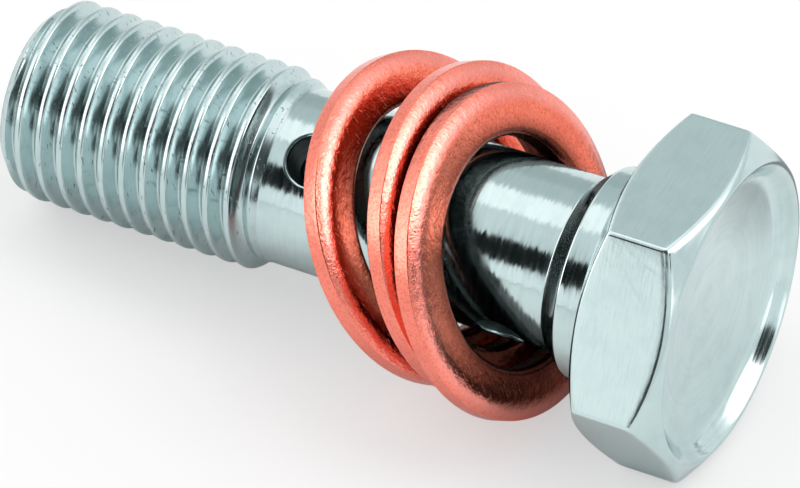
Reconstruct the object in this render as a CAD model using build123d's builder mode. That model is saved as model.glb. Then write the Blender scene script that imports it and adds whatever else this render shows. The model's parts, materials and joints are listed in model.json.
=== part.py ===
from build123d import *
import os
from math import acos, atan, atan2, cos, hypot, radians, sin, sqrt, tan

# A double banjo bolt with its three loose copper washers, in millimetres.
# The bolt lies on its side, with one flat of the hex and the rim of the thread's tip on the ground.
# The washers stand on the ground and lean towards the thread, the last one as far as its hole lets it.
# X runs along the bolt to the head, Z is up, and the origin is on the ground under the middle.
# Stations are measured along the bolt's axis from the seat under the head, and the head is at plus.

# Thread, 7/16-20 UNF, as the plain cylinder over its crests
thread_diameter = 11.11
thread_length = 15.5
thread_runout = 1.0
tip_chamfer = 0.98

# Shank and the collar under the head
bolt_length = 35.9
shank_diameter = 9.65
collar_diameter = 11.65
collar_length = 2.15
collar_cone = 1.1

# Hex head, chamfered on both sides, with a dished top inside a sharp rim
hex_across_flats = 17.1
hex_corner_radius = 0.25
seat_diameter = 16.4
seat_chamfer_angle = 30
head_height = 5.4
rim_diameter = 16.3
rim_chamfer_angle = 33.5
dish_bevel = 0.9
dish_sag = 0.5

# Oil passage and the two cross holes, a quarter turn apart
passage_diameter = 5.0
passage_past_hole = 1.6
drill_point_angle = 118
cross_hole_diameter = 2.8
cross_hole_chamfer = 0.15
thread_hole_from_thread = 2.6
head_hole_from_cone = 2.85
thread_hole_angle = 150
head_hole_angle = 60

# Copper washers
washer_diameter = 17.8
washer_hole = 12.2
washer_thickness = 1.65
washer_edge = 0.5

# How the loose washers lie: the head-side washer's play to the collar's cone, the gap between
# pieces that rest on each other, each lean as a share of the steepest, each turn about the vertical
# as an angle in degrees, and each shift towards the near side as a share of the hole's side play
collar_play = 0.9
contact_gap = 0.05
lean_share = {"head_side_washer": 0.70, "middle_washer": 0.715, "thread_side_washer": 0.975}
turn_angle = {"head_side_washer": -2.6, "middle_washer": -2.1, "thread_side_washer": -0.6}
side_share = {"head_side_washer": 0.6, "middle_washer": 0.0, "thread_side_washer": 0.0}

thread_radius = thread_diameter / 2
shank_radius = shank_diameter / 2
collar_radius = collar_diameter / 2
seat_radius = seat_diameter / 2
rim_radius = rim_diameter / 2
hex_radius = hex_across_flats / 2
hex_reach = hex_radius / cos(radians(30))
hole_radius = washer_hole / 2
half_thickness = washer_thickness / 2

cone_start = collar_length + collar_cone
thread_hole_station = bolt_length - thread_length - thread_hole_from_thread
head_hole_station = cone_start + head_hole_from_cone

# The bolt tilts until the flat's lower edge and the end of the full thread are both on the ground.
flat_edge_station = (hex_radius - seat_radius) * tan(radians(seat_chamfer_angle))
tip_contact_station = tip_chamfer - bolt_length
tilt = atan((hex_radius - thread_radius) / (flat_edge_station - tip_contact_station))
along = Vector(cos(tilt), 0, sin(tilt))
over = Vector(-sin(tilt), 0, cos(tilt))
aside = Vector(0, -1, 0)

head_reach = head_height * cos(tilt) + rim_radius * sin(tilt)
tip_reach = bolt_length * cos(tilt) + (thread_radius - tip_chamfer) * sin(tilt)
seat_height = hex_radius * cos(tilt) - flat_edge_station * sin(tilt)
seat_centre = Vector((tip_reach - head_reach) / 2, 0, seat_height)

# The steepest lean is where the hole's rounded edges meet the shank on both sides.
edge_ring = hole_radius + washer_edge
edge_offset = half_thickness - washer_edge
shank_with_edge = shank_radius + washer_edge + contact_gap
steepest_lean = acos(shank_with_edge / hypot(edge_ring, edge_offset)) - atan2(edge_offset, edge_ring)


def standing_height(slope):
    """Height of a washer's centre when its rounded edge is on the ground and its axis rises by slope."""
    rim = washer_diameter / 2 - washer_edge
    return rim * cos(slope) + edge_offset * sin(slope) + washer_edge


def washer_plane(name, stop, stop_normal, radius, gap):
    """Plane through a washer's middle, its normal to the head. Its ring of this radius is a gap from
    the stop, and it stands on the ground unless its hole meets the shank first."""
    lean = lean_share[name] * steepest_lean
    slope = tilt + lean
    turn = radians(turn_angle[name])
    normal = Vector(cos(slope) * cos(turn), cos(slope) * sin(turn), sin(slope))
    square = stop_normal.dot(normal)
    depth = gap + radius * sqrt(max(0, 1 - square**2)) + half_thickness * square
    side = side_share[name] * (hole_radius - shank_radius)
    play = edge_ring * cos(lean) - edge_offset * sin(lean) - shank_with_edge

    start = seat_centre + aside * side
    to_stop = stop_normal.dot(stop - start) - depth
    to_ground = standing_height(slope) - start.Z
    square_up = stop_normal.dot(over)
    square_along = stop_normal.dot(along)
    rise = (square_along * to_ground - along.Z * to_stop) / (square_along * over.Z - square_up * along.Z)
    limit = play * (1 - side_share[name])
    rise = min(max(rise, -limit), limit)
    station = (to_stop - rise * square_up) / square_along
    return Plane(start + along * station + over * rise, x_dir=aside, z_dir=normal)


# The washers are stacked from the collar's cone towards the thread, each one on the last.
washer_planes = {}
stop, stop_normal = seat_centre - along * cone_start, along
ring, gap = hole_radius, collar_play
for name in lean_share:
    plane = washer_plane(name, stop, stop_normal, ring, gap)
    washer_planes[name] = plane
    stop, stop_normal = plane.origin - plane.z_dir * half_thickness, plane.z_dir
    ring, gap = washer_diameter / 2, contact_gap

# The bolt's seat plane has its X axis down through the flat that is on the ground.
seat_plane = Plane(seat_centre, x_dir=-over, z_dir=along)
# The profile plane has radius along its X axis and the bolt's axis along its Y axis.
profile_plane = Plane(seat_centre, x_dir=over, z_dir=over.cross(along))
bolt_axis = Axis(seat_centre, along)


def cross_hole_plane(station, angle):
    """Plane through the bolt's axis, its normal along a cross hole at this angle from straight down."""
    around = radians(angle)
    return Plane(
        seat_centre - along * station,
        x_dir=along,
        z_dir=aside * sin(around) - over * cos(around),
    )


# The head is a hexagonal bar turned down to the chamfered, dished outline.
seat_flank = (hex_reach - seat_radius) * tan(radians(seat_chamfer_angle))
rim_flank = (hex_reach - rim_radius) * tan(radians(rim_chamfer_angle))
dish_radius = rim_radius - dish_bevel
dish_height = head_height - dish_bevel
with BuildPart() as head:
    with BuildSketch(seat_plane):
        RegularPolygon(hex_radius, 6, major_radius=False, rotation=30)
        fillet(vertices(), hex_corner_radius)
    extrude(amount=head_height)
    with BuildSketch(profile_plane):
        with BuildLine():
            Polyline(
                (0, dish_height - dish_sag),
                (0, 0),
                (seat_radius, 0),
                (hex_reach, seat_flank),
                (hex_reach, head_height - rim_flank),
                (rim_radius, head_height),
                (dish_radius, dish_height),
            )
            TangentArc((0, dish_height - dish_sag), (dish_radius, dish_height), tangent=(1, 0))
        make_face()
    revolve(axis=bolt_axis, mode=Mode.INTERSECT)

with BuildPart() as banjo_bolt:
    # Collar, shank and thread
    with BuildSketch(profile_plane):
        with BuildLine():
            Polyline(
                (0, -bolt_length),
                (thread_radius - tip_chamfer, -bolt_length),
                (thread_radius, tip_contact_station),
                (thread_radius, thread_length - thread_runout - bolt_length),
                (shank_radius, thread_length - bolt_length),
                (shank_radius, -cone_start),
                (collar_radius, -collar_length),
                (collar_radius, 0),
                (0, 0),
                close=True,
            )
        make_face()
    revolve(axis=bolt_axis)

    # Cross holes, right through, with a broken edge at each mouth
    for station, angle in ((thread_hole_station, thread_hole_angle), (head_hole_station, head_hole_angle)):
        with BuildSketch(cross_hole_plane(station, angle)):
            Circle(cross_hole_diameter / 2)
        extrude(amount=thread_diameter, both=True, mode=Mode.SUBTRACT)
        mouths = banjo_bolt.edges(Select.LAST).filter_by(GeomType.BSPLINE)
        chamfer(mouths, cross_hole_chamfer)

    # Blind passage from the tip to just past the head's cross hole, with the drill's cone at its end
    passage_radius = passage_diameter / 2
    passage_end = passage_past_hole - head_hole_station
    drill_point = passage_radius / tan(radians(drill_point_angle / 2))
    with BuildSketch(profile_plane):
        with BuildLine():
            Polyline(
                (0, -bolt_length),
                (passage_radius, -bolt_length),
                (passage_radius, passage_end),
                (0, passage_end + drill_point),
                close=True,
            )
        make_face()
    revolve(axis=bolt_axis, mode=Mode.SUBTRACT)
    add(head.part)

os.makedirs("parts", exist_ok=True)
banjo_bolt.part.label = "banjo_bolt"
export_step(banjo_bolt.part, "parts/banjo_bolt.step")

for name, plane in washer_planes.items():
    with BuildPart(plane) as washer:
        Cylinder(washer_diameter / 2, washer_thickness)
        Cylinder(hole_radius, washer_thickness, mode=Mode.SUBTRACT)
        fillet(washer.edges().filter_by(GeomType.CIRCLE), washer_edge)
    washer.part.label = name
    export_step(washer.part, f"parts/{name}.step")
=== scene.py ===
"""Looks of the banjo bolt and its three copper washers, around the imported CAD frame."""

import json
from math import atan2, cos, pi, radians, sin, sqrt, tan

import bmesh
import bpy
import numpy as np
from mathutils import Matrix, Vector


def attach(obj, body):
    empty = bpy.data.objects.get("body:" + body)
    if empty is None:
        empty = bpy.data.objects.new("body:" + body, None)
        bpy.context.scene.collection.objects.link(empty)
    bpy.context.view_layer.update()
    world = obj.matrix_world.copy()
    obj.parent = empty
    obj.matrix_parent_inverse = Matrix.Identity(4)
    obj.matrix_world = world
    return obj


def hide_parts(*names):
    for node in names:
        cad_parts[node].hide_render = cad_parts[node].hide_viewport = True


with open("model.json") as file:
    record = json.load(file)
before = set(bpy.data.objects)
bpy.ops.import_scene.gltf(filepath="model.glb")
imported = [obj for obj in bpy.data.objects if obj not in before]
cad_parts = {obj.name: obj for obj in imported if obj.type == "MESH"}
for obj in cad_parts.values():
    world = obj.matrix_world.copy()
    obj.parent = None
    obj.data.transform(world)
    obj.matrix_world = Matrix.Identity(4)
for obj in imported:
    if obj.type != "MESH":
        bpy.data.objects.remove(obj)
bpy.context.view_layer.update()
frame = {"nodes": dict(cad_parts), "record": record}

MM = 0.001
BODY = "root"

# ---------------------------------------------------------------- sizes, in millimetres
# The bolt's own axes have the origin in the middle of the seat under the head, Z towards the head
# and X down through the flat that is on the ground. Stations are heights along that Z.
THREAD_RADIUS = 5.555
THREAD_PITCH = 1.27
THREAD_DEPTH = 0.75
THREAD_CREST_FLAT = 0.28
THREAD_CREST_ROUND = 0.12
THREAD_ROOT_ROUND = 0.1
THREAD_CREST_FALL = 0.045
THREAD_HOLLOW = 0.045
THREAD_FIRST_CREST = -34.77  # station of the first whole crest, at the next angle
THREAD_FIRST_ANGLE = 227.0
THREAD_FULL_TO = -21.4
THREAD_GONE_AT = -20.15
THREAD_FADE = 1.4
BOLT_LENGTH = 35.9
TIP_CHAMFER = 0.98
TIP_RINGS = (4.2, 3.8)
SHANK_RADIUS = 4.825
CONE_FOOT = -3.25
COLLAR_EDGE = -2.15
COLLAR_RADIUS = 5.825
COLLAR_FOOT = COLLAR_RADIUS + 0.1
CONE_ROUND = 0.22

HEX_RADIUS = 8.55
HEX_CORNER_ROUND = 0.3
HEX_PILLOW = 0.006
HEX_PILLOW_POWER = 3
HEX_WORN = 0.02
HEX_WORN_POWER = 16
HEX_WORN_REACH = 0.25
SEAT_RADIUS = 8.2
SEAT_SLOPE = tan(radians(30))
SEAT_ROUND = 0.1
SEAT_EDGE_ROUND = 0.14
HEAD_HEIGHT = 5.4
RIM_RADIUS = 8.15
RIM_SLOPE = tan(radians(33.5))
RIM_ROUND = 0.2
RIM_EDGE_ROUND = 0.42
DISH_RADIUS = 7.2
DISH_EDGE = 4.45
DISH_FLOOR = 4.0
DISH_POWER = 3
DISH_ROUND = 1.3
DISH_FLOOR_RADIUS = 6.6

PASSAGE_RADIUS = 2.5
PASSAGE_END = -4.5
PASSAGE_RINGS = (2.75, 3.3)
DRILL_POINT = PASSAGE_RADIUS / tan(radians(59))
CROSS_HOLE_RADIUS = 1.4
MOUTH_RADIUS = 1.55
MOUTH_SINK = 1.3 * (MOUTH_RADIUS - CROSS_HOLE_RADIUS)
CROSS_HOLES = ((-17.8, -150), (-6.1, -60))  # station and angle round the bolt, in degrees

WASHER_RADIUS = 8.9
WASHER_HOLE_RADIUS = 6.1
WASHER_HALF_THICKNESS = 0.825
WASHER_EDGE = 0.5
WASHER_BAND = 0.86
WASHER_BAND_ROUND = 0.07
WASHER_SHOULDER_FROM = 7.7
WASHER_SHOULDER_ROUND = 2.0
WASHER_SHOULDER_ANGLE = radians(35)
WASHER_UNEVEN = 0.03
WASHER_UNEVEN_RADIUS = WASHER_RADIUS - 0.15
WASHER_UNEVEN_REACH = 0.35
WASHER_WAVES = (2, 3, 5, 8, 13, 21, 34)

# ---------------------------------------------------------------- mesh density
# Round a cross hole, a block of cells is left out of the grid of the shank and of the passage.
# Both blocks, given as half their rows and half their columns, have as many points on their border.
COLUMNS = 180
PASSAGE_COLUMNS = 120
SHANK_BLOCK = (11, 11)
PASSAGE_BLOCK = (8, 14)
MOUTH_POINTS = 4 * sum(SHANK_BLOCK)
# The shank's grid has the cross holes on whole steps, and starts where the thread has ended.
STEPS_BETWEEN_HOLES = 70
STEPS_BEFORE_HOLES = 14
SHANK_STEP = (CROSS_HOLES[1][0] - CROSS_HOLES[0][0]) / STEPS_BETWEEN_HOLES
SHANK_START = CROSS_HOLES[0][0] - STEPS_BEFORE_HOLES * SHANK_STEP
MOUTH_SHARES = (0.3, 0.6, 0.85, 1.0)  # of the way from the block's border to the mouth
MOUTH_EDGE_STEPS = 4
BORE_STEPS = 8
SHANK_END_SPARE = 0.4
PASSAGE_STEP = 0.2
PASSAGE_FIRST_STEP = 0.12
PASSAGE_LONG_STEPS = 15
PASSAGE_END_STEPS = 3
DRILL_SHARES = (0.25, 0.5, 0.75, 0.95)
THREAD_CREST_STEPS = 3
THREAD_ROOT_STEPS = 2
THREAD_SPARE_TURNS = 3
FLAT_COLUMNS = 11
FLAT_CROWDING = 0.25
CORNER_COLUMNS = 4
CONE_STEPS = 5
CONE_LEAD = 0.3
HEAD_STEPS = 4
HEAD_CUTS = (5, 3, 14, 4, 2)  # points that cut each straight run of the head's outline
SEAT_TURN_REACH = 1.2
DISH_TURN_RADIUS = 6.0
DISH_RINGS = 16
DISH_STEPS = 8
WASHER_COLUMNS = 256
WASHER_STEPS = 4
WASHER_SHOULDER_STEPS = 8
WASHER_EDGE_STEPS = 8
LONGEST_EDGE = 0.2
MERGE_DECIMALS = 6
SHARP_ANGLE = radians(36)

# ---------------------------------------------------------------- camera
CAMERA_AZIMUTH = radians(26.4)
CAMERA_ELEVATION = radians(46.23)
CAMERA_ROLL = radians(-1.61)
CAMERA_TARGET = Vector((1.05, 0.0, 4.58)) * MM
CAMERA_DISTANCE = 372.2 * MM
CAMERA_LENS = 315.0
CAMERA_SENSOR = 36.0
CAMERA_CLIP = (0.01, 10.0)


def make_camera():
    """The photograph's long lens, looking down on the head's side of the bolt."""
    view = Vector((
        -sin(CAMERA_AZIMUTH) * cos(CAMERA_ELEVATION),
        cos(CAMERA_AZIMUTH) * cos(CAMERA_ELEVATION),
        -sin(CAMERA_ELEVATION),
    ))
    level = view.cross(Vector((0, 0, 1))).normalized()
    upright = level.cross(view)
    up = upright * cos(CAMERA_ROLL) + level * sin(CAMERA_ROLL)
    right = view.cross(up)
    turn = Matrix((right, up, -view)).transposed().to_4x4()
    data = bpy.data.cameras.new("camera")
    data.lens = CAMERA_LENS
    data.sensor_width = CAMERA_SENSOR
    data.clip_start, data.clip_end = CAMERA_CLIP
    camera = bpy.data.objects.new("camera", data)
    camera.matrix_world = Matrix.Translation(CAMERA_TARGET - view * CAMERA_DISTANCE) @ turn
    bpy.context.scene.collection.objects.link(camera)
    bpy.context.scene.camera = camera


# ---------------------------------------------------------------- mesh tools
class Skin:
    """A mesh as it grows: vertices in millimetres, and faces. Vertices that coincide are merged at
    the end."""

    def __init__(self):
        self.points = []
        self.faces = []

    def add(self, points):
        """Adds points and returns their indexes in the same arrangement."""
        points = np.asarray(points, float)
        first = len(self.points)
        self.points.extend(points.reshape(-1, 3))
        return np.arange(first, len(self.points)).reshape(points.shape[:-1])

    def join(self, low, high):
        """Quads between two closed rings with as many points each."""
        count = len(low)
        for i in range(count):
            j = (i + 1) % count
            self.faces.append((low[i], low[j], high[j], high[i]))

    def blend(self, low, high):
        """Triangles between two closed rings with different numbers of points."""
        a, b, i, j = len(low), len(high), 0, 0
        while i < a or j < b:
            if j >= b or (i < a and (i + 1) * b <= (j + 1) * a):
                self.faces.append((low[i % a], low[(i + 1) % a], high[j % b]))
                i += 1
            else:
                self.faces.append((low[i % a], high[(j + 1) % b], high[j % b]))
                j += 1

    def stack(self, rings):
        """Joins closed rings in turn and returns the last one."""
        for low, high in zip(rings, rings[1:]):
            self.join(low, high)
        return rings[-1]

    def cap(self, ring, centre):
        """Closes a ring with a fan to one point."""
        middle = self.add([centre])[0]
        for i in range(len(ring)):
            self.faces.append((ring[i], ring[(i + 1) % len(ring)], middle))

    def piece(self, name, placed):
        """The finished mesh as an object in metres, moved into the row frame, faces outwards."""
        points = np.array(self.points)
        _, first, where = np.unique(
            np.round(points, MERGE_DECIMALS), axis=0, return_index=True, return_inverse=True)
        where = where.reshape(-1)
        faces = []
        for face in self.faces:
            corners = [int(where[k]) for k in face]
            corners = [c for i, c in enumerate(corners) if c != corners[i - 1]]
            if len(set(corners)) > 2:
                faces.append(corners)
        data = bpy.data.meshes.new(name)
        data.from_pydata((points[first] * MM).tolist(), [], faces)
        data.transform(placed)
        turn_outwards(data)
        data.shade_smooth()
        data.set_sharp_from_angle(angle=SHARP_ANGLE)
        return bpy.data.objects.new(name, data)


def turn_outwards(data):
    """Makes all faces of a closed mesh point out of it."""
    work = bmesh.new()
    work.from_mesh(data)
    bmesh.ops.recalc_face_normals(work, faces=work.faces)
    work.to_mesh(data)
    work.free()


def ring_of(radius, station, angles):
    """Points round the bolt's axis. Radius and station may be one number or one per point."""
    angles = np.asarray(angles, float)
    radius = np.broadcast_to(radius, angles.shape)
    station = np.broadcast_to(station, angles.shape)
    return np.stack((radius * np.cos(angles), radius * np.sin(angles), station), -1)


def rounded(corners, steps=3):
    """A polyline with each corner (x, y, radius) replaced by an arc of that radius, as points.
    A corner's fourth number is its own count of steps."""
    line = [np.array(corners[0][:2], float)]
    for before, corner, after in zip(corners, corners[1:], corners[2:]):
        here = np.array(corner[:2], float)
        back = np.array(before[:2], float) - here
        ahead = np.array(after[:2], float) - here
        back /= np.hypot(*back)
        ahead /= np.hypot(*ahead)
        if corner[2] <= 0:
            line.append(here)
            continue
        half = np.arccos(np.clip(back @ ahead, -1, 1)) / 2
        bisector = back + ahead
        centre = here + bisector / np.hypot(*bisector) * corner[2] / np.sin(half)
        start = here + back * corner[2] / np.tan(half)
        end = here + ahead * corner[2] / np.tan(half)
        first, last = start - centre, end - centre
        sweep = np.arctan2(first[0] * last[1] - first[1] * last[0], first @ last)
        count = corner[3] if len(corner) > 3 else steps
        for k in range(count + 1):
            turn = sweep * k / count
            c, s = np.cos(turn), np.sin(turn)
            line.append(centre + (c * first[0] - s * first[1], s * first[0] + c * first[1]))
    line.append(np.array(corners[-1][:2], float))
    return np.array(line)


def divided(line, longest):
    """The polyline with its segments cut so that none is longer than this."""
    out = [line[0]]
    for a, b in zip(line, line[1:]):
        parts = max(1, int(np.ceil(np.hypot(*(b - a)) / longest - 1e-9)))
        out.extend(a + (b - a) * k / parts for k in range(1, parts + 1))
    return np.array(out)


# ---------------------------------------------------------------- the bolt
ROUND = np.arange(COLUMNS) * 2 * pi / COLUMNS


def hollow_flank(start, end):
    """Three points between the ends of a thread's flank, a little below the straight line."""
    flank = end - start
    below = np.array((flank[1], -flank[0])) / np.hypot(*flank) * THREAD_HOLLOW
    quarters = (1, 2, 3)
    return [start + flank * k / 4 + below * (1 - (k / 2 - 1) ** 2) for k in quarters]


def thread_profile():
    """One pitch of the thread from crest to crest, without the second crest: positions as shares of
    the pitch, and heights over the root. The flanks are a little hollow, and the crests fall a
    little towards the tip."""
    crest = THREAD_CREST_FLAT / 2
    root = crest + THREAD_DEPTH * tan(radians(30))
    low, high = THREAD_DEPTH - THREAD_CREST_FALL, THREAD_DEPTH
    line = rounded((
        (0, (low + high) / 2),
        (crest, high, THREAD_CREST_ROUND, THREAD_CREST_STEPS),
        (root, 0, THREAD_ROOT_ROUND, THREAD_ROOT_STEPS),
        (THREAD_PITCH - root, 0, THREAD_ROOT_ROUND, THREAD_ROOT_STEPS),
        (THREAD_PITCH - crest, low, THREAD_CREST_ROUND, THREAD_CREST_STEPS),
        (THREAD_PITCH, (low + high) / 2),
    ))
    down = THREAD_CREST_STEPS + 1
    up = down + 2 * (THREAD_ROOT_STEPS + 1)
    whole = np.vstack((
        line[:down + 1],
        hollow_flank(line[down], line[down + 1]),
        line[down + 1:up + 1],
        hollow_flank(line[up], line[up + 1]),
        line[up + 1:-1],
    ))
    return whole[:, 0] / THREAD_PITCH, whole[:, 1]


def thread_radius(station, height):
    """The thread's surface at a station for a height over the root: it fades out before the shank
    and the tip's chamfer cuts it."""
    share = np.clip((THREAD_GONE_AT - station) / (THREAD_GONE_AT - THREAD_FULL_TO), 0, 1)
    fade = share**THREAD_FADE
    root = SHANK_RADIUS + (THREAD_RADIUS - THREAD_DEPTH - SHANK_RADIUS) * fade
    cone = THREAD_RADIUS - TIP_CHAMFER + BOLT_LENGTH + station
    return np.minimum(root + height * fade, cone)


def make_thread(skin):
    """A helical grid, so that the crests run along its rows. Its ends are clamped to plain rings.
    Returns the ring at the tip."""
    shares, heights = thread_profile()
    rows = len(shares)
    base = THREAD_FIRST_CREST + THREAD_PITCH * (THREAD_FIRST_ANGLE / 360 - THREAD_SPARE_TURNS)
    turns = int((SHANK_START - base) / THREAD_PITCH) + THREAD_SPARE_TURNS
    station = np.array([
        base + (turn + share) * THREAD_PITCH for turn in range(turns) for share in shares
    ])
    height = np.tile(heights, turns)
    stations = station[:, None] + THREAD_PITCH * ROUND[None, :] / (2 * pi)
    stations = np.clip(stations, -BOLT_LENGTH, SHANK_START)
    radii = thread_radius(stations, height[:, None])
    grid = skin.add(ring_of(radii, stations, np.broadcast_to(ROUND, stations.shape)))
    for i in range(len(station) - rows - 1):
        for j in range(COLUMNS):
            if j + 1 < COLUMNS:
                right, right_up = grid[i, j + 1], grid[i + 1, j + 1]
            else:
                right, right_up = grid[i + rows, 0], grid[i + rows + 1, 0]
            skin.faces.append((grid[i, j], right, right_up, grid[i + 1, j]))
    return skin.add(ring_of(THREAD_RADIUS - TIP_CHAMFER, -BOLT_LENGTH, ROUND))


def square_border(grid, row, column, rows, columns):
    """Indexes round a block of grid cells, from the corner before the middle row and column, along
    the columns first. The grid closes on itself across its columns."""
    count = grid.shape[1]
    c = [(column + k) % count for k in range(-columns, columns + 1)]
    r = [row + k for k in range(-rows, rows + 1)]
    return (
        [grid[r[0], k] for k in c[:-1]]
        + [grid[k, c[-1]] for k in r[:-1]]
        + [grid[r[-1], k] for k in c[:0:-1]]
        + [grid[k, c[0]] for k in r[:0:-1]]
    )


def grid_faces(skin, grid, blocks):
    """Quads of a grid that closes across its columns, except inside the blocks."""
    rows, count = grid.shape
    skip = set()
    for row, column, half_rows, half_columns in blocks:
        for r in range(row - half_rows, row + half_rows):
            for c in range(column - half_columns, column + half_columns):
                skip.add((r, c % count))
    for r in range(rows - 1):
        for c in range(count):
            if (r, c) not in skip:
                d = (c + 1) % count
                skin.faces.append((grid[r, c], grid[r, d], grid[r + 1, d], grid[r + 1, c]))


def on_cylinder(radius, across, up, station, angle, sink=0.0):
    """Points on a round surface, given by how far they are across and up from a hole's axis."""
    depth = np.sqrt(radius * radius - across * across) - sink
    c, s = cos(angle), sin(angle)
    return np.stack((depth * c - across * s, depth * s + across * c, station + up), -1)


def cross_hole(skin, station, angle, outside, inside):
    """One mouth of a cross hole: from the shank's surface over the broken edge, down the bore and
    into the passage."""
    turn = -3 * pi / 4 + np.arange(MOUTH_POINTS) * 2 * pi / MOUTH_POINTS
    across, up = np.cos(turn), np.sin(turn)

    def local(indexes):
        """How far points are across and up from the hole's axis."""
        points = np.array([skin.points[k] for k in indexes])
        return points[:, 1] * cos(angle) - points[:, 0] * sin(angle), points[:, 2] - station

    def depth_of(cylinder, radius):
        """Depths from the bolt's axis of a ring round the hole's axis that is on a cylinder."""
        return np.sqrt(cylinder**2 - (across * radius) ** 2)

    def ring(radius, depth):
        """A ring round the hole's axis at these depths from the bolt's axis."""
        sink = depth_of(SHANK_RADIUS, radius) - depth
        a, b = across * radius, up * radius
        return skin.add(on_cylinder(SHANK_RADIUS, a, b, station, angle, sink))

    rings = [np.array(outside)]
    outer_across, outer_up = local(outside)
    for share in MOUTH_SHARES:
        a = outer_across + (across * MOUTH_RADIUS - outer_across) * share
        b = outer_up + (up * MOUTH_RADIUS - outer_up) * share
        rings.append(skin.add(on_cylinder(SHANK_RADIUS, a, b, station, angle)))
    mouth = depth_of(SHANK_RADIUS, MOUTH_RADIUS)
    for k in range(1, MOUTH_EDGE_STEPS + 1):
        bend = k / MOUTH_EDGE_STEPS * pi / 2
        radius = MOUTH_RADIUS - (MOUTH_RADIUS - CROSS_HOLE_RADIUS) * sin(bend)
        rings.append(ring(radius, mouth - MOUTH_SINK * (1 - cos(bend))))
    top = mouth - MOUTH_SINK
    low = depth_of(PASSAGE_RADIUS, CROSS_HOLE_RADIUS)
    for k in range(1, BORE_STEPS + 1):
        rings.append(ring(CROSS_HOLE_RADIUS, top + (low - top) * k / BORE_STEPS))
    inner_across, inner_up = local(inside)
    a = (across * CROSS_HOLE_RADIUS + inner_across) / 2
    b = (up * CROSS_HOLE_RADIUS + inner_up) / 2
    rings.append(skin.add(on_cylinder(PASSAGE_RADIUS, a, b, station, angle)))
    rings.append(np.array(inside))
    skin.stack(rings)


def make_shank(skin):
    """The drilled shank, as a grid with a block left open for each mouth. It ends a little before
    the cone's rounded foot. Returns the grid's last ring and the openings as (station, angle,
    border)."""
    top = CONE_FOOT - CONE_ROUND * tan(radians(22.5))
    last = int((top - SHANK_START) / SHANK_STEP - SHANK_END_SPARE)
    stations = [SHANK_START + k * SHANK_STEP for k in range(last + 1)]
    grid = skin.add([ring_of(SHANK_RADIUS, station, ROUND) for station in stations])
    blocks, openings = [], []
    for station, degrees in CROSS_HOLES:
        row = round((station - SHANK_START) / SHANK_STEP)
        for side in (degrees, degrees + 180):
            column = round(side % 360 * COLUMNS / 360)
            blocks.append((row, column, *SHANK_BLOCK))
            openings.append((station, radians(side), square_border(grid, *blocks[-1])))
    grid_faces(skin, grid, blocks)
    return grid[-1], openings


def make_passage(skin):
    """The blind oil passage, with a block left open for each cross hole. Returns its ring at the
    tip, its columns' angles and the borders of its openings, in the order of the shank's."""
    spaced = [-BOLT_LENGTH, -BOLT_LENGTH + PASSAGE_FIRST_STEP]
    for station, _ in CROSS_HOLES:
        reach = range(-PASSAGE_BLOCK[0], PASSAGE_BLOCK[0] + 1)
        block = [station + PASSAGE_STEP * k for k in reach]
        spaced += list(np.linspace(spaced[-1], block[0], PASSAGE_LONG_STEPS + 1)[1:-1]) + block
    spaced += list(np.linspace(spaced[-1], PASSAGE_END, PASSAGE_END_STEPS + 1)[1:])
    angles = np.arange(PASSAGE_COLUMNS) * 2 * pi / PASSAGE_COLUMNS
    grid = skin.add([ring_of(PASSAGE_RADIUS, station, angles) for station in spaced])
    blocks, borders = [], []
    for station, degrees in CROSS_HOLES:
        row = int(np.argmin(np.abs(np.array(spaced) - station)))
        for side in (degrees, degrees + 180):
            column = round(side % 360 * PASSAGE_COLUMNS / 360)
            blocks.append((row, column, *PASSAGE_BLOCK))
            borders.append(square_border(grid, *blocks[-1]))
    grid_faces(skin, grid, blocks)
    cone = [grid[-1]]
    for share in DRILL_SHARES:
        radius, station = PASSAGE_RADIUS * (1 - share), PASSAGE_END + DRILL_POINT * share
        cone.append(skin.add(ring_of(radius, station, angles)))
    skin.cap(skin.stack(cone), (0, 0, PASSAGE_END + DRILL_POINT))
    return grid[0], angles, borders


def hex_columns():
    """Angles of the head's columns and the hex's radius on each: corners rounded, flats a little
    full in the middle. There are as many columns as the shank has, closer near the corners."""
    flat_half = (HEX_RADIUS - HEX_CORNER_ROUND) * tan(radians(30))
    half = []
    for k in range(FLAT_COLUMNS + 1):
        share = k / FLAT_COLUMNS
        spread = share * (1 + FLAT_CROWDING - FLAT_CROWDING * share)
        half.append((HEX_RADIUS, flat_half * spread))
    for k in range(1, CORNER_COLUMNS + 1):
        bend = radians(30) * k / CORNER_COLUMNS
        half.append((
            HEX_RADIUS - HEX_CORNER_ROUND * (1 - cos(bend)),
            flat_half + HEX_CORNER_ROUND * sin(bend),
        ))
    corner = len(half) - 1
    angles, radii = [], []
    for sector in range(6):
        for k in range(-corner, corner):
            out, across = half[abs(k)]
            across = across if k >= 0 else -across
            fullness = 1 - HEX_PILLOW * (abs(across) / half[corner][1]) ** HEX_PILLOW_POWER
            angles.append(radians(60) * sector + atan2(across, out))
            radii.append(sqrt(out * out + across * across) * fullness)
    return np.array(angles), np.array(radii)


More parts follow.
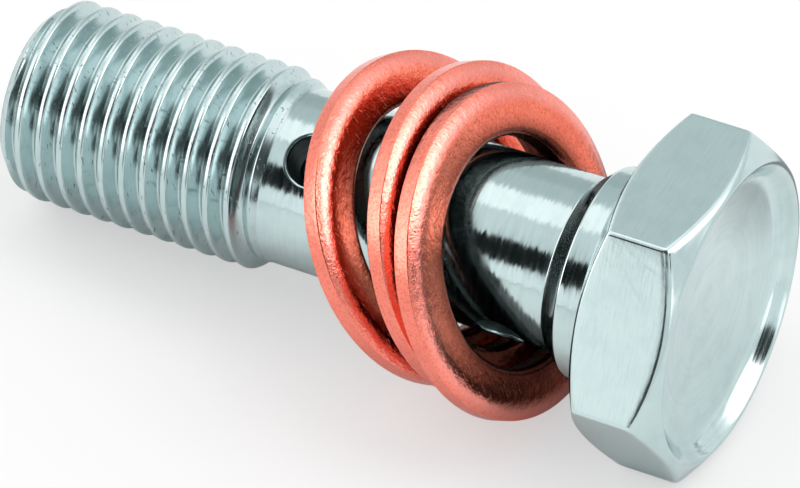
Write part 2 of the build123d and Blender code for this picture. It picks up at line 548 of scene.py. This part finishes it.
def head_outline(radius):
    """The head's outline from the collar's foot to near the dish's middle, for one hex radius. Its
    straight runs are cut into more points, and the flat falls a little at its worn edges."""
    seat_corner = (radius - SEAT_RADIUS) * SEAT_SLOPE
    rim_corner = HEAD_HEIGHT - (radius - RIM_RADIUS) * RIM_SLOPE
    outside = rounded((
        (COLLAR_FOOT, 0, 0),
        (SEAT_RADIUS, 0, SEAT_ROUND),
        (radius, seat_corner, SEAT_EDGE_ROUND),
        (radius, rim_corner, RIM_EDGE_ROUND),
        (RIM_RADIUS, HEAD_HEIGHT, RIM_ROUND),
        (DISH_RADIUS, DISH_EDGE, DISH_ROUND, DISH_STEPS),
        (DISH_FLOOR_RADIUS, dish_height(DISH_FLOOR_RADIUS), 0),
    ), steps=HEAD_STEPS)
    cuts = {run * (HEAD_STEPS + 1): count for run, count in enumerate(HEAD_CUTS)}
    line = [outside[0]]
    for k, (a, b) in enumerate(zip(outside, outside[1:])):
        parts = cuts.get(k, 0) + 1
        line.extend(a + (b - a) * p / parts for p in range(1, parts + 1))
    line = np.array(line)
    middle = (seat_corner + rim_corner) / 2
    reach = (rim_corner - seat_corner) / 2
    offset = np.clip(np.abs(line[:, 1] - middle) / reach, 0, 1)
    on_flat = np.clip((line[:, 0] - radius + HEX_WORN_REACH) / HEX_WORN_REACH, 0, 1)
    line[:, 0] -= HEX_WORN * offset**HEX_WORN_POWER * on_flat
    radii = DISH_FLOOR_RADIUS * (1 - np.linspace(0, 1, DISH_RINGS + 2)[1:-1])
    return np.vstack((line, np.transpose((radii, dish_height(radii)))))


def dish_height(radius):
    """Height of the dish's floor, a shallow hollow that steepens outwards."""
    return DISH_FLOOR + (DISH_EDGE - DISH_FLOOR) * (radius / DISH_RADIUS) ** DISH_POWER


def make_head(skin, last):
    """Cone and collar from the shank's last ring, then the hex head, each column with its own
    outline. The columns go from even to the hex's own angles on the seat, and back in the dish."""
    cone = rounded((
        (SHANK_RADIUS, CONE_FOOT - CONE_LEAD, 0),
        (SHANK_RADIUS, CONE_FOOT, CONE_ROUND),
        (COLLAR_RADIUS, COLLAR_EDGE, CONE_ROUND),
        (COLLAR_RADIUS, 0, COLLAR_FOOT - COLLAR_RADIUS),
        (COLLAR_FOOT, 0, 0),
    ), steps=CONE_STEPS)
    line = [cone[1]]
    for a, b in zip(cone[1:], cone[2:-1]):
        parts = max(1, int(np.hypot(*(b - a)) / LONGEST_EDGE))
        line.extend(a + (b - a) * k / parts for k in range(1, parts + 1))
    rings = [last] + [skin.add(ring_of(radius, station, ROUND)) for radius, station in line[:-1]]
    angles, radii = hex_columns()
    outlines = np.array([head_outline(radius) for radius in radii])
    even = ROUND - radians(30)
    for row in range(outlines.shape[1]):
        radius, station = outlines[:, row, 0], outlines[:, row, 1]
        on_seat = row <= HEAD_CUTS[0] + 1
        outer = np.clip((radius - COLLAR_FOOT) / SEAT_TURN_REACH, 0, 1) if on_seat else 1.0
        inner = np.clip(radius / DISH_TURN_RADIUS, 0, 1)
        turned = even + (angles - even) * outer * inner
        rings.append(skin.add(ring_of(radius, station, turned)))
    return rings


def make_bolt():
    """The whole bolt as one closed mesh."""
    skin = Skin()
    tip = make_thread(skin)
    shank_end, openings = make_shank(skin)
    passage_tip, passage_angles, borders = make_passage(skin)
    for (station, angle, outside), inside in zip(openings, borders):
        cross_hole(skin, station, angle, outside, inside)
    rings = make_head(skin, shank_end)
    skin.stack(rings)
    skin.cap(rings[-1], (0, 0, DISH_FLOOR))
    outer, inner = [tip], [passage_tip]
    outer += [skin.add(ring_of(radius, -BOLT_LENGTH, ROUND)) for radius in TIP_RINGS]
    inner += [skin.add(ring_of(radius, -BOLT_LENGTH, passage_angles)) for radius in PASSAGE_RINGS]
    skin.blend(skin.stack(outer), skin.stack(inner))
    return skin.piece("bolt", bolt_frame())


def bolt_frame():
    """The bolt's own axes in the row frame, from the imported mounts."""
    mounts = {mount["name"]: mount for mount in frame["record"]["mounts"]}
    along = -Vector(mounts["thread"]["axis"]).normalized()
    on_axis = Vector(mounts["thread"]["pos_m"])
    on_seat = Vector(mounts["head_seat"]["pos_m"])
    seat = on_axis + along * (on_seat - on_axis).dot(along)
    aside = Vector((0, 1, 0))
    down = aside.cross(along).normalized()
    turn = Matrix((down, aside, along)).transposed().to_4x4()
    return Matrix.Translation(seat) @ turn


# ---------------------------------------------------------------- the washers
def washer_outline():
    """A washer's section as a closed outline of (radius, height): flat rim band with a crisp
    corner, domed shoulder, flat face and rounded inner edge, and the same again below."""
    band, top = WASHER_BAND / 2, WASHER_HALF_THICKNESS
    shoulder = []
    for share in np.linspace(1, 0, WASHER_SHOULDER_STEPS + 1):
        lean = WASHER_SHOULDER_ANGLE * share
        shoulder.append((
            WASHER_SHOULDER_FROM + WASHER_SHOULDER_ROUND * sin(lean),
            top - WASHER_SHOULDER_ROUND * (1 - cos(lean)),
            0.0,
        ))
    outline = rounded((
        (WASHER_RADIUS, 0, 0),
        (WASHER_RADIUS, band, WASHER_BAND_ROUND),
        *shoulder,
        (WASHER_HOLE_RADIUS, top, WASHER_EDGE, WASHER_EDGE_STEPS),
        (WASHER_HOLE_RADIUS, 0, 0),
    ), steps=WASHER_STEPS)
    outline = divided(outline, LONGEST_EDGE)
    lower = outline[-2:0:-1] * (1, -1)
    return np.vstack((outline, lower))


def wavy(angles, seed, size):
    """A slow unevenness round a ring, as offsets in millimetres."""
    draw = np.random.default_rng(seed)
    total = np.zeros_like(angles)
    for count in WASHER_WAVES:
        wave = np.sin(count * angles + draw.uniform(0, 2 * pi))
        total += wave * draw.uniform(0.4, 1.0) / count**0.4
    return total * size / 3


def washer_frame(node):
    """A washer's own axes from its CAD node: its middle, with Z towards the head."""
    data = frame["nodes"][node].data
    data.calc_loop_triangles()
    points = np.array([v.co for v in data.vertices])
    corners = points[np.array([t.vertices for t in data.loop_triangles])]
    sides = corners[:, 1:] - corners[:, :1]
    area = np.linalg.norm(np.cross(sides[:, 0], sides[:, 1]), axis=1)
    centres = corners.mean(1)
    middle = (centres * area[:, None]).sum(0) / area.sum()
    spread = (centres - middle).T @ ((centres - middle) * area[:, None])
    axis = np.linalg.eigh(spread)[1][:, 0]
    axis = Vector(axis * np.sign(axis[0]))
    side = Vector((0, 1, 0)).cross(axis).normalized()
    turn = Matrix((side, axis.cross(side), axis)).transposed().to_4x4()
    return Matrix.Translation(Vector(middle)) @ turn


def make_washer(name, node, seed):
    """One copper washer in the place of its CAD node. Its rim's corners are a little uneven."""
    skin = Skin()
    outline = washer_outline()
    angles = np.arange(WASHER_COLUMNS) * 2 * pi / WASHER_COLUMNS
    upper, lower = (wavy(angles, seed + k, WASHER_UNEVEN) for k in (0, 1))
    rings = []
    for radius, height in outline:
        near_corner = np.exp(-((radius - WASHER_UNEVEN_RADIUS) / WASHER_UNEVEN_REACH) ** 2)
        near_corner *= abs(height) / WASHER_HALF_THICKNESS
        uneven = (upper if height > 0 else lower) * near_corner
        height = height + uneven * np.sign(height)
        rings.append(skin.add(ring_of(radius - np.abs(uneven), height, angles)))
    skin.stack(rings)
    skin.join(rings[-1], rings[0])
    return skin.piece(name, washer_frame(node))


def place(piece, node):
    """Puts a piece in the scene in place of its CAD node."""
    bpy.context.scene.collection.objects.link(piece)
    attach(piece, BODY)
    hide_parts(node)


# ---------------------------------------------------------------- materials
STEEL = (0.56, 0.69, 0.69, 1)
STEEL_ROLLED = (0.55, 0.675, 0.68, 1)
# A lighter copy of the plating: painted light that brightens the hex flats and the dish.
STEEL_LIGHTENED = (0.61, 0.745, 0.745, 1)
STEEL_DULL = (0.44, 0.56, 0.57, 1)
STEEL_DARK = (0.07, 0.09, 0.09, 1)
COPPER = (0.98, 0.23, 0.15, 1)
COPPER_DEEP = (0.68, 0.11, 0.05, 1)
# Light scratches, and the painted highlight on the washers' outer shoulder and rim band.
COPPER_SCRATCH_AND_HIGHLIGHT = (0.98, 0.36, 0.315, 1)
# Painted shade on a washer's face round its hole, where the shank stands close.
COPPER_HOLE_SHADE = (0.12, 0.015, 0.005, 1)
# Painted reflection: the dark grey that copper is drawn in where the metals reflect it.
COPPER_REFLECTION_SHADE = (0.085, 0.08, 0.078, 1)
NEIGHBOUR_SHARE = 0.8
COAT_IOR = 1.8
COAT_ROUGHNESS = 0.1
GRAIN_ALONG = 0.7
ELSEWHERE = (31.0, 7.0, 3.0)
# Distances from an axis between which a look changes, in millimetres.
# The painted shade in the thread's roots fades out between these radii.
THREAD_ROOT_SHADE = (4.8, 5.1)
# The painted shade round a washer's hole fades out between these radii.
COPPER_SHADE_NEAR_HOLE = (6.2, 7.5)
# The painted highlight rises between the first pair of radii and eases off between the second.
COPPER_HIGHLIGHT_FACE = (7.7, 8.4)
COPPER_HIGHLIGHT_RIM = (8.5, 8.85)


class Nodes:
    """A node tree being written: each call adds one node with its settings and links its inputs."""

    def __init__(self, tree):
        self.tree = tree
        tree.nodes.clear()

    def fill(self, socket, value):
        """Links a socket to another node's output, or sets its own value."""
        if isinstance(value, bpy.types.NodeSocket):
            self.tree.links.new(value, socket)
        else:
            socket.default_value = value

    def add(self, kind, inputs=None, **settings):
        """A node of any kind."""
        node = self.tree.nodes.new(kind)
        for name, value in settings.items():
            setattr(node, name, value)
        for name, value in (inputs or {}).items():
            self.fill(node.inputs[name], value)
        return node

    def math(self, operation, a, b=0.0):
        """Maths with numbers."""
        return self.add("ShaderNodeMath", {0: a, 1: b}, operation=operation).outputs[0]

    def vector(self, operation, a, b):
        """Maths with two vectors that gives a vector."""
        return self.add("ShaderNodeVectorMath", {0: a, 1: b}, operation=operation).outputs[0]

    def measure(self, operation, a, b):
        """Maths with two vectors that gives a number."""
        node = self.add("ShaderNodeVectorMath", {0: a, 1: b}, operation=operation)
        return node.outputs["Value"]

    def smooth(self, value, low, high, to_low=0.0, to_high=1.0):
        """Smooth step of a value between two limits."""
        return self.add("ShaderNodeMapRange", {
            "Value": value, "From Min": low, "From Max": high, "To Min": to_low, "To Max": to_high,
        }, interpolation_type="SMOOTHSTEP").outputs[0]

    def noise(self, vector, scale, detail=3.0, roughness=0.5, distortion=0.0):
        """Smooth noise around a half."""
        return self.add("ShaderNodeTexNoise", {
            "Vector": vector, "Scale": scale, "Detail": detail, "Roughness": roughness,
            "Distortion": distortion,
        }).outputs["Fac"]

    def stretched(self, vector, scale, **inputs):
        """Coordinates scaled by a different number along each axis."""
        inputs = {"Vector": vector, "Scale": scale, **inputs}
        return self.add("ShaderNodeMapping", inputs).outputs[0]

    def normal(self):
        """The surface's own normal."""
        return self.add("ShaderNodeNewGeometry").outputs["Normal"]

    def bump(self, height, strength, distance, normal=None, invert=False):
        """The normal, or this one, tilted by a height, with the distance in millimetres."""
        inputs = {"Height": height, "Strength": strength, "Distance": distance * MM}
        if normal is not None:
            inputs["Normal"] = normal
        return self.add("ShaderNodeBump", inputs, invert=invert).outputs[0]

    def mix(self, factor, a, b):
        """Mix of two colours."""
        node = self.add("ShaderNodeMix", data_type="RGBA")
        for name, value in (("Factor", factor), ("A", a), ("B", b)):
            self.fill(next(i for i in node.inputs if i.name == name and i.enabled), value)
        return next(o for o in node.outputs if o.enabled)


def new_material(name):
    """A material, and its node tree to be written."""
    material = bpy.data.materials.new(name)
    material.use_nodes = True
    return material, Nodes(material.node_tree)


def finish_metal(nodes, colour, roughness, normal=None, coat=0.0):
    """A metal's shader and output. Colour, roughness and normal may vary over its surface."""
    inputs = {
        "Base Color": colour, "Roughness": roughness, "Metallic": 1.0,
        "Coat Weight": coat, "Coat IOR": COAT_IOR, "Coat Roughness": COAT_ROUGHNESS,
    }
    if normal is not None:
        inputs["Normal"] = normal
    shader = nodes.add("ShaderNodeBsdfPrincipled", inputs)
    nodes.add("ShaderNodeOutputMaterial", {"Surface": shader.outputs[0]})


def own_coordinates(nodes, placed):
    """Position in a piece's own axes in millimetres, and the distance from its axis."""
    coordinates = nodes.add("ShaderNodeTexCoord").outputs["Object"]
    local = nodes.add("ShaderNodeMapping", {
        "Vector": coordinates,
        "Location": placed.to_translation(),
        "Rotation": placed.to_euler(),
        "Scale": (MM, MM, MM),
    }, vector_type="TEXTURE").outputs[0]
    x, y, z = nodes.add("ShaderNodeSeparateXYZ", {0: local}).outputs
    square = nodes.math("ADD", nodes.math("MULTIPLY", x, x), nodes.math("MULTIPLY", y, y))
    return local, nodes.math("SQRT", square)


def bolt_grain(nodes, fine, around):
    """Coordinates for marks left by turning, fine along the surface and stretched round the axis,
    with what own_coordinates gives for the bolt."""
    local, radius = own_coordinates(nodes, bolt_frame())
    x, y, z = nodes.add("ShaderNodeSeparateXYZ", {0: local}).outputs
    station = nodes.math("MULTIPLY", z, GRAIN_ALONG)
    across = nodes.math("MULTIPLY", nodes.math("ADD", station, radius), fine)
    round_x = nodes.math("MULTIPLY", nodes.math("DIVIDE", x, radius), around)
    round_y = nodes.math("MULTIPLY", nodes.math("DIVIDE", y, radius), around)
    grain = nodes.add("ShaderNodeCombineXYZ", {0: across, 1: round_x, 2: round_y}).outputs[0]
    return grain, local, radius


def tilted_normal(nodes, base, along, amount):
    """The normal leaned along a direction by a varying amount."""
    shift = nodes.add("ShaderNodeVectorMath", {0: along, "Scale": amount}, operation="SCALE")
    total = nodes.vector("ADD", base, shift.outputs[0])
    return nodes.add("ShaderNodeVectorMath", {0: total}, operation="NORMALIZE").outputs[0]


def turned_normal(nodes, grain, lengthwise, around):
    """The normal on a turned surface: its marks lean it a little along the bolt and round it."""
    normal = nodes.normal()
    along = bolt_frame().to_3x3() @ Vector((0, 0, 1))
    axis = nodes.add("ShaderNodeCombineXYZ", {0: along.x, 1: along.y, 2: along.z}).outputs[0]
    circle = nodes.vector("CROSS_PRODUCT", axis, normal)
    slope = nodes.vector("CROSS_PRODUCT", circle, normal)
    marks = nodes.noise(grain, 1.0, detail=4.0, roughness=0.6)
    others = nodes.noise(nodes.vector("ADD", grain, ELSEWHERE), 1.0, roughness=0.6)
    first = nodes.math("MULTIPLY", nodes.math("SUBTRACT", marks, 0.5), lengthwise)
    second = nodes.math("MULTIPLY", nodes.math("SUBTRACT", others, 0.5), around)
    return tilted_normal(nodes, tilted_normal(nodes, normal, slope, first), circle, second)


def scratches(nodes, vector, scale, stretch, angle, threshold):
    """Short fine scratches in one direction, as a mask."""
    turned = nodes.stretched(vector, (scale, scale * stretch, scale * stretch), Rotation=angle)
    return nodes.smooth(nodes.noise(turned, 1.0, detail=2.0), threshold, threshold + 0.05)


def steel_colour(nodes, local, wear, plain=STEEL):
    """Plating colour with soft dull blotches and a few dark spots."""
    blotch = nodes.smooth(nodes.noise(local, 0.55, detail=4.0, roughness=0.6), 0.42, 0.68)
    colour = nodes.mix(nodes.math("MULTIPLY", blotch, wear), plain, STEEL_DULL)
    spots = nodes.smooth(nodes.noise(local, 5.0, detail=4.0, roughness=0.7), 0.70, 0.76)
    return nodes.mix(nodes.math("MULTIPLY", spots, 0.75), colour, STEEL_DARK)


def turned_steel(name, plain, around, lengthwise, across):
    """Shank, collar, chamfers or dish, with turning marks."""
    material, nodes = new_material(name)
    grain, local, _ = bolt_grain(nodes, fine=9.0, around=around)
    normal = turned_normal(nodes, grain, lengthwise, across)
    marks = nodes.noise(grain, 0.6)
    roughness = nodes.smooth(marks, 0.3, 0.7, 0.08, 0.17)
    colour = steel_colour(nodes, local, wear=0.35, plain=plain)
    colour = nodes.mix(nodes.smooth(marks, 0.4, 0.7, 0.0, 0.2), colour, STEEL_DULL)
    finish_metal(nodes, colour, roughness, normal)
    return material


def rolled_steel():
    """The thread, with small nicks on it and painted shade in its roots."""
    material, nodes = new_material("rolled_steel")
    grain, local, radius = bolt_grain(nodes, fine=3.0, around=5.0)
    normal = turned_normal(nodes, grain, lengthwise=0.08, around=0.12)
    nick = scratches(nodes, local, 1.2, stretch=5.0, angle=(0.4, 0.9, 0.3), threshold=0.66)
    bump = nodes.bump(nick, strength=0.5, distance=0.03, normal=normal, invert=True)
    colour = steel_colour(nodes, local, wear=0.5, plain=STEEL_ROLLED)
    # Painted shade: a little darker in the thread's roots.
    colour = nodes.mix(nodes.smooth(radius, *THREAD_ROOT_SHADE, 0.1, 0.0), colour, STEEL_DARK)
    colour = nodes.mix(nodes.math("MULTIPLY", nick, 0.6), colour, STEEL_DARK)
    finish_metal(nodes, colour, 0.2, bump)
    return material


def hex_steel():
    """The hex's flats, with fine drawn lines along the bolt and handling swirls."""
    material, nodes = new_material("hex_steel")
    local, _ = own_coordinates(nodes, bolt_frame())
    drawn = nodes.stretched(local, (0.7, 0.7, 9.0))
    lines = nodes.noise(drawn, 1.0, detail=4.0, roughness=0.6, distortion=0.6)
    swirl = nodes.noise(local, 0.5, detail=2.0, distortion=2.5)
    height = nodes.math("ADD", lines, nodes.math("MULTIPLY", swirl, 1.5))
    bump = nodes.bump(height, strength=0.2, distance=0.02)
    # Painted light: the flats' plating is a lighter copy of the bolt's.
    colour = steel_colour(nodes, local, wear=0.2, plain=STEEL_LIGHTENED)
    colour = nodes.mix(nodes.smooth(lines, 0.45, 0.7, 0.0, 0.2), colour, STEEL_DULL)
    finish_metal(nodes, colour, 0.15, bump)
    return material


def bored_steel():
    """Inside the oil passage and the cross holes: dull and darker."""
    material, nodes = new_material("bored_steel")
    grain, _, _ = bolt_grain(nodes, fine=6.0, around=2.0)
    finish_metal(nodes, nodes.mix(nodes.noise(grain, 1.0), STEEL_DULL, STEEL_DARK), 0.4)
    return material


# Limits of the bolt's zones: stations and radii in millimetres, and parts of a face's normal.
NEAR_AXIS = 1e-6
FLAT_FROM = 0.05
FLAT_LEAN = 0.3
DISH_FROM = DISH_FLOOR - 0.05
DISH_WITHIN = RIM_RADIUS - 0.03
BORED_FROM = -BOLT_LENGTH + 0.01
BORED_WITHIN = SHANK_RADIUS - 0.2
ROLLED_LEAN = -0.5


def dress_bolt(bolt):
    """Gives each zone of the bolt its material, by where its faces are and which way they face."""
    steels = (
        turned_steel("turned_steel", STEEL, around=3.0, lengthwise=0.07, across=0.13),
        rolled_steel(),
        hex_steel(),
        bored_steel(),
        # Painted light: the dish's plating is a lighter copy of the bolt's.
        turned_steel("dished_steel", STEEL_LIGHTENED, around=1.3, lengthwise=0.35, across=0.06),
    )
    for steel in steels:
        bolt.data.materials.append(steel)
    turned, rolled, flat, bored, dished = range(5)
    inverse = bolt_frame().inverted()
    turn = inverse.to_3x3()
    for face in bolt.data.polygons:
        centre = inverse @ face.center / MM
        normal = turn @ face.normal
        radius = sqrt(centre.x**2 + centre.y**2)
        outwards = (centre.x * normal.x + centre.y * normal.y) / max(radius, NEAR_AXIS)
        if centre.z > FLAT_FROM and radius > SEAT_RADIUS and abs(normal.z) < FLAT_LEAN:
            face.material_index = flat
        elif centre.z > DISH_FROM and radius < DISH_WITHIN:
            face.material_index = dished
        elif BORED_FROM < centre.z < 0 and radius < BORED_WITHIN:
            face.material_index = bored
        elif centre.z < SHANK_START and outwards > ROLLED_LEAN:
            face.material_index = rolled
        else:
            face.material_index = turned


def copper_colour(nodes, local, radius, speckle, marks):
    """Mottled and finely speckled copper with light scratches, a painted highlight on the outer
    shoulder and rim band, and painted shade round the hole."""
    mottle = nodes.smooth(nodes.noise(local, 0.5, detail=5.0, roughness=0.6), 0.35, 0.70)
    colour = nodes.mix(nodes.math("MULTIPLY", mottle, 0.35), COPPER, COPPER_DEEP)
    colour = nodes.mix(nodes.smooth(speckle, 0.50, 0.62, 0.0, 0.75), colour, COPPER_DEEP)
    colour = nodes.mix(nodes.math("MULTIPLY", marks, 0.6), colour, COPPER_SCRATCH_AND_HIGHLIGHT)
    # Painted highlight, here called worn: lighter copper, strongest on the outer shoulder and
    # weaker on the rim band.
    worn = nodes.math(
        "MULTIPLY",
        nodes.smooth(radius, *COPPER_HIGHLIGHT_FACE, 0.0, 0.6),
        nodes.smooth(radius, *COPPER_HIGHLIGHT_RIM, 1.0, 0.45),
    )
    colour = nodes.mix(worn, colour, COPPER_SCRATCH_AND_HIGHLIGHT)
    # Painted shade: the face darkens towards the hole.
    return nodes.mix(nodes.smooth(radius, *COPPER_SHADE_NEAR_HOLE, 0.75, 0.0), colour, COPPER_HOLE_SHADE)


def copper(name, placed, seed, neighbour):
    """Bare copper with small dents. In the metals' reflections it is drawn as a painted reflection,
    dark and nearly without colour, but its face towards the thread is plain copper there by the
    share neighbour."""
    material, nodes = new_material(name)
    local, radius = own_coordinates(nodes, placed)
    local = nodes.vector("ADD", local, (seed, 0, 0))
    speckle = nodes.noise(local, 7.0, roughness=0.7)
    light = scratches(nodes, local, 1.6, stretch=7.0, angle=(0.5, 0.2, 1.1), threshold=0.68)
    other = scratches(nodes, local, 1.4, stretch=8.0, angle=(1.2, 0.7, 0.4), threshold=0.68)
    marks = nodes.math("MAXIMUM", light, other)
    colour = copper_colour(nodes, local, radius, speckle, marks)
    dents = nodes.math("MULTIPLY", nodes.noise(local, 2.2, detail=2.0), 2.0)
    height = nodes.math("ADD", speckle, dents)
    height = nodes.math("ADD", height, nodes.math("MULTIPLY", marks, -0.6))
    bump = nodes.bump(height, strength=0.6, distance=0.03)
    roughness = nodes.smooth(speckle, 0.3, 0.7, 0.08, 0.18)
    # Painted reflection: glossy rays see this dark grey instead of copper, except on the face
    # towards the thread, by the share neighbour.
    facing = nodes.measure("DOT_PRODUCT", nodes.normal(), placed.to_3x3() @ Vector((0, 0, 1)))
    painted_reflection = nodes.mix(nodes.smooth(facing, -0.7, -0.3, neighbour, 0.0), COPPER_REFLECTION_SHADE, COPPER)
    mirrored = nodes.add("ShaderNodeLightPath").outputs["Is Glossy Ray"]
    finish_metal(nodes, nodes.mix(mirrored, colour, painted_reflection), roughness, bump, coat=0.05)
    return material


# ---------------------------------------------------------------- studio
def direction(azimuth, elevation):
    """Unit vector towards a part of the studio: azimuth from +X towards +Y, in degrees."""
    a, e = radians(azimuth), radians(elevation)
    return Vector((cos(a) * cos(e), sin(a) * cos(e), sin(e)))


# Parts of the studio that show in the metal, the later ones over the earlier: azimuth, elevation,
# where the edge starts and ends, all in degrees, and brightness. The soft boxes are bright, the
# wall behind is dim, and the camera's side is dark.
STUDIO = (
    (255, 0, 22, 46, 1.12),
    (30, 50, 20, 42, 1.4),
    (25, 31, 17, 22, 1.9),
    (28, 42, 8, 16, 3.4),
    (6, 43, 11, 16, 4.4),
    (95, 72, 10, 32, 1.25),
    (140, 72, 14, 22, 1.55),
    (158, 60, 11, 16, 1.4),
    (219, 54, 9, 15, 0.95),
    (197, 30, 18, 24, 1.75),
    (214, 12, 9, 20, 2.8),
    (98, 32, 14, 24, 0.76),
    (120, 38, 12, 22, 0.72),
    (113, 14, 8, 20, 0.6),
    (146, 32, 7, 14, 1.5),
    (288, 54, 22, 36, 0.2),
    (258, 52, 8, 14, 0.15),
    (262, 47, 12, 20, 0.05),
    (286, 48, 14, 22, 0.06),
    (310, 48, 12, 22, 0.08),
    (354, 26, 9, 12, 0.05),
    (352, 3, 6, 12, 1.6),
    (276, 8, 13, 17, 0.04),
    (240, 31.5, 11, 16, 0.012),
    (254, 18, 3, 6, 0.05),
    (262, 6, 3, 7, 0.05),
)
STUDIO_LEVEL = 0.92
LIGHT_LEVEL = 0.62
# Soft boxes that light the part: azimuth, elevation, width and height in metres, and radiance.
LAMPS = {
    "right_box": (36, 48, 0.46, 0.5, 1.6),
    "left_box": (186, 48, 0.60, 0.42, 1.4),
    "top_box": (80, 76, 0.5, 0.25, 1.4),
}
LAMP_DISTANCE = 0.6


def grey(level):
    """A colour without a hue."""
    return (level, level, level, 1)


def studio_shade(radiance):
    """The studio's colour at a brightness: its dark parts are greenish and its lights warm."""
    warmth = min(0.84 + 0.14 * radiance, 1.12)
    return (radiance * warmth, radiance, radiance, 1)


def make_world():
    """A studio that is white to the camera and gives an even light. What stands round it shows in
    the metal only."""
    world = bpy.data.worlds.new("studio")
    world.use_nodes = True
    nodes = Nodes(world.node_tree)
    toward = nodes.add("ShaderNodeTexCoord").outputs["Generated"]
    colour = studio_shade(STUDIO_LEVEL)
    for azimuth, elevation, inner, outer, radiance in STUDIO:
        facing = nodes.measure("DOT_PRODUCT", toward, direction(azimuth, elevation))
        share = nodes.smooth(facing, cos(radians(outer)), cos(radians(inner)))
        colour = nodes.mix(share, colour, studio_shade(radiance))
    path = nodes.add("ShaderNodeLightPath").outputs
    mirrored = nodes.math("MAXIMUM", path["Is Glossy Ray"], path["Is Transmission Ray"])
    plain = nodes.mix(path["Is Camera Ray"], grey(LIGHT_LEVEL), grey(1))
    colour = nodes.mix(mirrored, plain, colour)
    background = nodes.add("ShaderNodeBackground", {"Color": colour, "Strength": 1.0})
    nodes.add("ShaderNodeOutputWorld", {"Surface": background.outputs[0]})
    bpy.context.scene.world = world


def soft_lamp(name, azimuth, elevation, width, height, radiance):
    """A soft box that faces the part. It doesn't show in the metal."""
    data = bpy.data.lights.new(name, "AREA")
    data.shape = "RECTANGLE"
    data.size = width
    data.size_y = height
    data.energy = radiance * pi * width * height
    lamp = bpy.data.objects.new(name, data)
    lamp.visible_glossy = False
    away = direction(azimuth, elevation)
    lamp.location = away * LAMP_DISTANCE
    lamp.rotation_euler = away.to_track_quat("Z", "Y").to_euler()
    bpy.context.scene.collection.objects.link(lamp)


FLOOR_REACH = 3.0
FLOOR_WHITE = 0.9
# How dark the floor's painted shadow is. Only the metal's reflections show it.
FLOOR_PAINTED_SHADOW = 0.3
# In the metal, the floor has a painted shadow in two places, beside the bolt and beyond its head:
# each one's middle, and how far from it its edge starts and ends, in millimetres.
FLOOR_SHADOW_PLACES = (((11, 12, 0), 4, 14), ((26, 24, 0), 6, 13))


def make_floor():
    """A plain white floor that keeps the part's shadow. In the metal it also shows a painted shadow
    in two places.
    """
    data = bpy.data.meshes.new("floor")
    square = ((-1, -1), (1, -1), (1, 1), (-1, 1))
    corners = [(x * FLOOR_REACH, y * FLOOR_REACH, 0) for x, y in square]
    data.from_pydata(corners, [], [(0, 1, 2, 3)])
    floor = bpy.data.objects.new("floor", data)
    material, nodes = new_material("floor")
    path = nodes.add("ShaderNodeLightPath").outputs
    position = nodes.add("ShaderNodeTexCoord").outputs["Object"]
    position = nodes.stretched(position, (1 / MM, 1 / MM, 1 / MM))
    places = [
        nodes.smooth(nodes.measure("DISTANCE", position, middle), start, end, 1.0, 0.0)
        for middle, start, end in FLOOR_SHADOW_PLACES
    ]
    # Painted shadow, here called dim: the floor is darker in these places, for glossy rays only.
    dim = nodes.math("MULTIPLY", nodes.math("MAXIMUM", *places), path["Is Glossy Ray"])
    colour = nodes.mix(dim, grey(FLOOR_WHITE), grey(FLOOR_PAINTED_SHADOW))
    diffuse = nodes.add("ShaderNodeBsdfDiffuse", {"Color": colour})
    white = nodes.add("ShaderNodeEmission", {"Color": grey(1), "Strength": 1.0})
    seen = nodes.math("MULTIPLY", path["Is Camera Ray"], 0.5)
    total = nodes.add("ShaderNodeMixShader", {0: seen, 1: diffuse.outputs[0], 2: white.outputs[0]})
    nodes.add("ShaderNodeOutputMaterial", {"Surface": total.outputs[0]})
    data.materials.append(material)
    bpy.context.scene.collection.objects.link(floor)


# ---------------------------------------------------------------- scene
bpy.context.scene.view_settings.view_transform = "Standard"
make_camera()
make_world()
make_floor()
for name, settings in LAMPS.items():
    soft_lamp(name, *settings)
bolt = make_bolt()
dress_bolt(bolt)
place(bolt, "banjo_bolt")
for number, side in enumerate(("thread_side", "middle", "head_side")):
    node, seed = side + "_washer", 10 * number
    neighbour = NEIGHBOUR_SHARE if number else 0.0
    washer = make_washer(side + "_ring", node, seed)
    washer.data.materials.append(copper(side + "_copper", washer_frame(node), seed, neighbour))
    place(washer, node)
